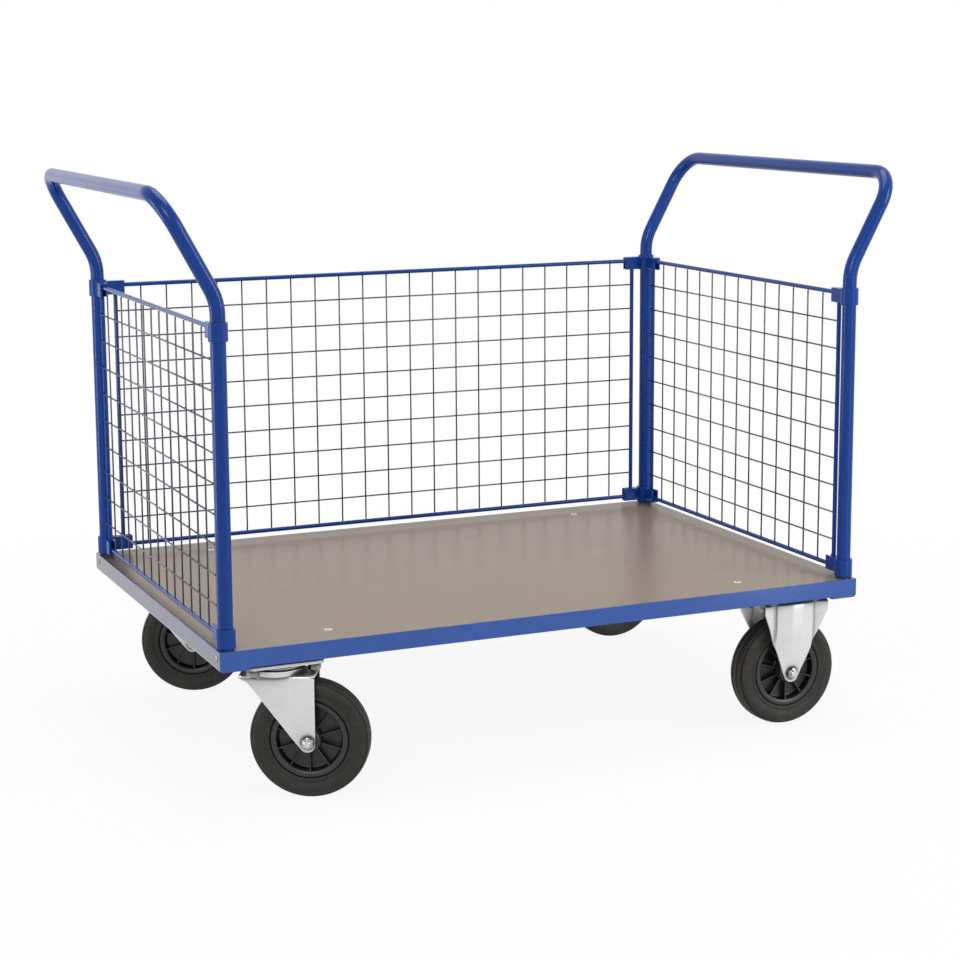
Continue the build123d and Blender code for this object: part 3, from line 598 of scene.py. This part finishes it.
def leg_rows():
    """Heights up a bracket leg, each with the half width of the leg's outline there."""
    rise = SHOULDER_HEIGHT - TIP_CENTRE
    slope = math.acos(TIP_RADIUS / math.hypot(SHOULDER_WIDTH, rise))
    touch = math.atan2(rise, SHOULDER_WIDTH) - slope
    turns = [-math.pi / 2 + (touch + math.pi / 2) * i / TIP_STEPS for i in range(TIP_STEPS + 1)]
    rows = [(TIP_CENTRE + TIP_RADIUS * math.sin(t), TIP_RADIUS * math.cos(t)) for t in turns]
    start, end = Vector(rows[-1]), Vector((SHOULDER_HEIGHT, SHOULDER_WIDTH))
    rows += [tuple(start.lerp(end, i / LEG_STEPS)) for i in range(1, LEG_STEPS + 1)]
    return rows + [(z, SHOULDER_WIDTH) for z in LEG_TOPS]


def follow(path, along):
    """A path's second value at a distance along it."""
    for (near, first), (far, second) in zip(path, path[1:]):
        if along <= far:
            return first + (second - first) * (along - near) / (far - near)
    return path[-1][1]


def bracket_leg(mesh, place, side):
    """One pressed leg, as rings round its two faces from the tip up to the bend at the plate."""
    folds = soften(LEG_FOLDS, 4)
    swell, folding = soften(LEG_SWELL, 6), soften(LEG_FOLDING, 6)
    columns = [-x for x, _ in reversed(folds[1:])] + [x for x, _ in folds]
    rings = []
    for z, width in leg_rows():
        face, fold = FORK + follow(swell, z), follow(folding, z)
        held = [min(max(x, -width), width) for x in columns]
        outer = [(x, face - fold * follow(folds, abs(x))) for x in held]
        inner = [(x, y - LEG_THICKNESS) for x, y in reversed(outer)]
        rings.append([place @ Vector((x, side * y, z)) for x, y in outer + inner])
    rim = PLATE_HIGH - 0.5
    edge = [place @ Vector((x, side * (y - LEG_THICKNESS / 2), rim)) for x, y in outer]
    rings.append(edge + edge[::-1])
    skin(mesh, rings)


def rounded_plate(mesh, place, length, width, corner):
    """A plate with round corners and broken edges."""
    rings = []
    for z, inset in (
        (PLATE_LOW, PLATE_BREAK),
        (PLATE_LOW + PLATE_BREAK, 0.0),
        (PLATE_HIGH - PLATE_BREAK, 0.0),
        (PLATE_HIGH, PLATE_BREAK),
    ):
        ring = []
        for quarter in range(4):
            middle = math.pi / 2 * (quarter + 0.5)
            x = math.copysign(length / 2 - corner, math.cos(middle))
            y = math.copysign(width / 2 - corner, math.sin(middle))
            for step in range(CORNER_STEPS):
                turn = math.pi / 2 * (quarter + step / (CORNER_STEPS - 1))
                bend_x = (corner - inset) * math.cos(turn)
                bend_y = (corner - inset) * math.sin(turn)
                ring.append(place @ Vector((x + bend_x, y + bend_y, z)))
        rings.append(ring)
    middles = [[place @ Vector((0, 0, z))] * len(ring) for z in (PLATE_LOW, PLATE_HIGH)]
    skin(mesh, [middles[0], *rings, middles[1]])


for corner, side in (("front_right", -1), ("rear_right", 1)):
    bracket = bmesh.new()
    at = spot((CASTOR.x, side * CASTOR.y, 0), (0, 0, 1), (1, 0, 0))
    for face in (-1, 1):
        bracket_leg(bracket, at, face)
    rounded_plate(bracket, at, *PLATE_SIZE, PLATE_CORNER)
    put(f"{corner}_pressed_bracket", bracket, "castor_zinc", "chassis", f"{corner}_castor_bracket")


# Castor bolts, kingpin nuts, deck bolts and post screws

BOLT_X = 52.5
BOLT_Y = {-1: 36.0, 1: 27.0}
BOLT_TWIST = 0.35
BOLT_RADIUS, BOLT_BORE, BOLT_HEX = 5.9, 6.0, 19.0
WASHER = [(0, 6.2, 0), (0, 14.0, 0.2), (2.4, 14.0, 0.5), (2.4, 6.2, 0), (0, 6.2, 0)]
KINGPIN_NUT_TOP = 207.2
KINGPIN_HEX, KINGPIN_NUT_HEIGHT, KINGPIN_BORE = 24.0, 6.9, 8.0
DECK_TOP = 270.0
DECK_BOLT_X, DECK_BOLT_Y = 391.5, 332.0
DECK_BOLT = [
    (-3.6, 0.0, 0),
    (-3.6, 2.4, 0.2),
    (-0.1, 2.5, 0.2),
    (0.1, 3.4, 0.3),
    (-0.3, 7.6, 0.4),
    (-4.2, 4.0, 0.6),
    (-31.0, 3.9, 0),
    (-31.0, 0.0, 0),
]
DECK_THREAD_TOP, DECK_THREAD_RADIUS = 239.5, 3.9
DECK_THREAD_LENGTH, DECK_THREAD_PITCH = 7.9, 1.25
DECK_NUT_TOP = 240.0
DECK_HEX, DECK_NUT_HEIGHT, DECK_NUT_BORE = 13.0, 6.4, 4.0
END_FACE, POST_Y, SCREW_HEIGHT = 600.0, 382.0, 256.0
SCREW_RADIUS = 2.9
SCREW_DOME = [
    (0.0, 0.0, 0),
    (0.0, 5.4, 0),
    (0.5, 5.4, 0.3),
    (1.3, 3.6, 0.7),
    (1.45, 1.4, 0.2),
    (0.5, 1.1, 0.2),
    (0.5, 0.0, 0),
]

bolts = bmesh.new()
for end, half_y in BOLT_Y.items():
    for side in (-1, 1):
        for x in (-BOLT_X, BOLT_X):
            for y in (-half_y, half_y):
                place = (end * CASTOR.x + x, side * CASTOR.y + y, PLATE_LOW)
                at = spot(place, DOWN, (1, BOLT_TWIST * y / half_y, 0))
                lathe(bolts, at, soften(WASHER), 48)
                hexagon(bolts, at, BOLT_HEX, 2.5, 13.4, BOLT_BORE)
                thread(bolts, at, BOLT_RADIUS, 12.6, 17.9)
                lathe(bolts, at, shank(-12.0, 13.0, BOLT_RADIUS), 24)
put("castor_bolts_turned", bolts, "castor_bolt_steel", "chassis", "castor_bolts")

for corner, side in (("front_left", -1), ("rear_left", 1)):
    nut = bmesh.new()
    at = spot((-CASTOR.x, side * CASTOR.y, KINGPIN_NUT_TOP), DOWN)
    hexagon(nut, at, KINGPIN_HEX, 0.0, KINGPIN_NUT_HEIGHT, KINGPIN_BORE)
    put(f"{corner}_kingpin_hex_nut", nut, "axle_steel", "chassis", f"{corner}_kingpin_nut")

heads = bmesh.new()
nuts = bmesh.new()
for x in (-DECK_BOLT_X, DECK_BOLT_X):
    for y in (-DECK_BOLT_Y, DECK_BOLT_Y):
        lathe(heads, spot((x, y, DECK_TOP)), soften(DECK_BOLT), 40)
        at = spot((x, y, DECK_THREAD_TOP), DOWN)
        thread(heads, at, DECK_THREAD_RADIUS, 0.0, DECK_THREAD_LENGTH, DECK_THREAD_PITCH)
        at = spot((x, y, DECK_NUT_TOP), DOWN)
        hexagon(nuts, at, DECK_HEX, 0.0, DECK_NUT_HEIGHT, DECK_NUT_BORE)
put("deck_bolts_turned", heads, "deck_bolt_steel", "chassis", "deck_bolts")
put("deck_nuts_forged", nuts, "deck_bolt_steel", "chassis", "deck_nuts")

screws = bmesh.new()
for end in (-1, 1):
    for y in (-POST_Y, POST_Y):
        at = spot((end * END_FACE, y, SCREW_HEIGHT), (end, 0, 0), (0, 0, 1))
        lathe(screws, at, soften(SCREW_DOME), 36)
        lathe(screws, at, shank(-12.0, 0.3, SCREW_RADIUS), 24)
put("post_screws_domed", screws, "screw_brass", "chassis", "post_screws")


# Mesh panels in metres: round wires, spot welded where they cross and where they meet the bars

PANEL_X, PANEL_Y = 0.5835, 0.382
LOW_RAIL = 0.286
CELL = 0.05
CELLS_HIGH = 10
WIRE = 0.0015
UPRIGHT_ENDS = (0.0039, 0.4961)
UPRIGHT_OUT, CROSSING_OUT, CROSS_OUT = 0.0025, 0.004, 0.0055
CROSS_OVERHANG = 0.003
BAR_WELD_IN = 0.0012
WELD_ACROSS, WELD_THROUGH = 0.0021, 0.0017


def nugget(mesh, position, size):
    """One flattened spot weld."""
    made = bmesh.ops.create_uvsphere(mesh, u_segments=8, v_segments=6, radius=1.0)["verts"]
    for vert in made:
        vert.co = Vector(position) + Vector(c * s for c, s in zip(vert.co, size))


def wire_panel(side, centre, along, outward, cells):
    """One panel's upright and cross wires, at the same places as the solid's."""
    mesh = bmesh.new()
    along, outward = Vector(along), Vector(outward)
    base = Vector((*centre, LOW_RAIL))
    up = Vector((0, 0, 1))
    wide = along * (cells * CELL / 2)
    over = along * CROSS_OVERHANG
    blob = [WELD_ACROSS if abs(o) < 0.5 else WELD_THROUGH for o in outward]
    columns = [along * ((i - cells / 2) * CELL) for i in range(1, cells)]
    rows = [up * (j * CELL) for j in range(1, CELLS_HIGH)]
    for column in columns:
        foot = base + column + outward * UPRIGHT_OUT
        rod(mesh, foot + up * UPRIGHT_ENDS[0], foot + up * UPRIGHT_ENDS[1], WIRE)
        for row in rows:
            nugget(mesh, base + column + row + outward * CROSSING_OUT, blob)
    for row in rows:
        start = base + row + outward * CROSS_OUT
        rod(mesh, start - wide - over, start + wide + over, WIRE)
        for edge in (-wide, wide):
            nugget(mesh, start + edge - outward * BAR_WELD_IN, blob)
    name = f"{side}_wires_welded"
    put(name, mesh, "wire_paint", "chassis", f"{side}_panel_wires", crease=50.0)


wire_panel("rear", (0.0, PANEL_Y), (-1, 0, 0), (0, 1, 0), 22)
wire_panel("left", (-PANEL_X, 0.0), (0, -1, 0), (-1, 0, 0), 14)
wire_panel("right", (PANEL_X, 0.0), (0, -1, 0), (-1, 0, 0), 14)


# Camera at the photograph's angle

CAMERA_PLACE = (-1.576, -3.642, 1.194)
YAW, PITCH, ROLL = (math.radians(a) for a in (23.83, 9.61, -0.32))
ahead = Vector((
    math.sin(YAW) * math.cos(PITCH),
    math.cos(YAW) * math.cos(PITCH),
    -math.sin(PITCH),
))
level = Vector((math.cos(YAW), -math.sin(YAW), 0.0))
upward = level.cross(ahead)
right = level * math.cos(ROLL) + upward * math.sin(ROLL)
top = upward * math.cos(ROLL) - level * math.sin(ROLL)
camera = bpy.data.objects.new("camera", bpy.data.cameras.new("camera"))
camera.data.lens = 81.6
camera.data.shift_y = -0.05
camera.data.sensor_width = 36.0
aim = Matrix((right, top, -ahead)).transposed().to_4x4()
camera.matrix_world = Matrix.Translation(CAMERA_PLACE) @ aim
scene.collection.objects.link(camera)
scene.camera = camera


# Floor, world and lamps

AMBIENT = 0.32
FLOOR_RADIUS = 30.0
FLOOR_FADE = {"From Min": 0.5, "From Max": 2.2, "To Min": 0.9, "To Max": 1.0}


def backdrop_mix(tree, plain, seen):
    """Show the second shader to camera, glossy and transmission rays, and the first to the rest."""
    rays = tree.nodes.new("ShaderNodeLightPath")
    total = rays.outputs["Is Camera Ray"]
    for name in ("Is Glossy Ray", "Is Transmission Ray"):
        add = tree.nodes.new("ShaderNodeMath")
        add.operation = "ADD"
        add.use_clamp = True
        tree.links.new(total, add.inputs[0])
        tree.links.new(rays.outputs[name], add.inputs[1])
        total = add.outputs[0]
    mix = tree.nodes.new("ShaderNodeMixShader")
    tree.links.new(total, mix.inputs[0])
    tree.links.new(plain, mix.inputs[1])
    tree.links.new(seen, mix.inputs[2])
    return mix.outputs[0]


world = bpy.data.worlds.new("studio")
world.use_nodes = True
scene.world = world
ambient = world.node_tree.nodes["Background"]
ambient.inputs["Color"].default_value = (0.97, 0.985, 1.0, 1.0)
ambient.inputs["Strength"].default_value = AMBIENT
white = world.node_tree.nodes.new("ShaderNodeBackground")
white.inputs["Color"].default_value = (1.0, 1.0, 1.0, 1.0)
white.inputs["Strength"].default_value = 1.0
world.node_tree.links.new(
    backdrop_mix(world.node_tree, ambient.outputs[0], white.outputs[0]),
    world.node_tree.nodes["World Output"].inputs["Surface"],
)

floor_mesh = bpy.data.meshes.new("floor")
disc = bmesh.new()
bmesh.ops.create_circle(disc, cap_ends=True, segments=96, radius=FLOOR_RADIUS)
disc.to_mesh(floor_mesh)
disc.free()
floor = bpy.data.objects.new("floor", floor_mesh)
scene.collection.objects.link(floor)
floor_material = bpy.data.materials.new("studio_floor")
floor_material.use_nodes = True
floor_tree = floor_material.node_tree
floor_nodes, link = floor_tree.nodes, floor_tree.links.new
paint = floor_nodes["Principled BSDF"]
paint.inputs["Base Color"].default_value = (0.8, 0.8, 0.8, 1.0)
paint.inputs["Roughness"].default_value = 0.9
paint.inputs["Specular IOR Level"].default_value = 0.0
glow = floor_nodes.new("ShaderNodeEmission")
glow.inputs["Strength"].default_value = 1.0
lit = floor_nodes.new("ShaderNodeMixShader")
spread = floor_nodes.new("ShaderNodeVectorMath")
spread.operation = "LENGTH"
link(floor_nodes.new("ShaderNodeTexCoord").outputs["Object"], spread.inputs[0])
fade = floor_nodes.new("ShaderNodeMapRange")
fade.interpolation_type = "SMOOTHSTEP"
for key, value in FLOOR_FADE.items():
    fade.inputs[key].default_value = value
link(spread.outputs["Value"], fade.inputs["Value"])
link(fade.outputs["Result"], lit.inputs[0])
link(paint.outputs[0], lit.inputs[1])
link(glow.outputs[0], lit.inputs[2])
link(
    backdrop_mix(floor_tree, paint.outputs[0], lit.outputs[0]),
    floor_nodes["Material Output"].inputs["Surface"],
)
floor_mesh.materials.append(floor_material)


def softbox(name, position, target, size, power):
    """A rectangular area lamp that the camera doesn't see."""
    lamp = bpy.data.lights.new(name, "AREA")
    lamp.shape = "RECTANGLE"
    lamp.size, lamp.size_y = size
    lamp.energy = power
    box = bpy.data.objects.new(name, lamp)
    box.location = position
    aim = Vector(target) - Vector(position)
    box.rotation_euler = aim.to_track_quat("-Z", "Y").to_euler()
    box.visible_camera = False
    scene.collection.objects.link(box)


softbox("key", (2.5, -2.6, 1.75), (0.0, -0.1, 0.4), (1.3, 2.2), 62.0)
softbox("fill", (-2.7, -3.0, 2.5), (0.0, 0.0, 0.4), (1.6, 1.6), 52.0)
softbox("overhead", (0.2, 0.4, 3.6), (0.0, 0.0, 0.3), (2.2, 2.2), 58.0)
softbox("left_strip", (-2.5, 0.5, 0.6), (-0.5, 0.0, 0.4), (0.7, 1.2), 15.0)
softbox("right_strip", (1.05, -1.5, 0.45), (-0.2, -0.3, 0.45), (0.16, 0.9), 2.0)
softbox("back_left", (-1.9, 4.2, 1.4), (-0.3, 0.0, 0.5), (2.6, 2.6), 9.0)
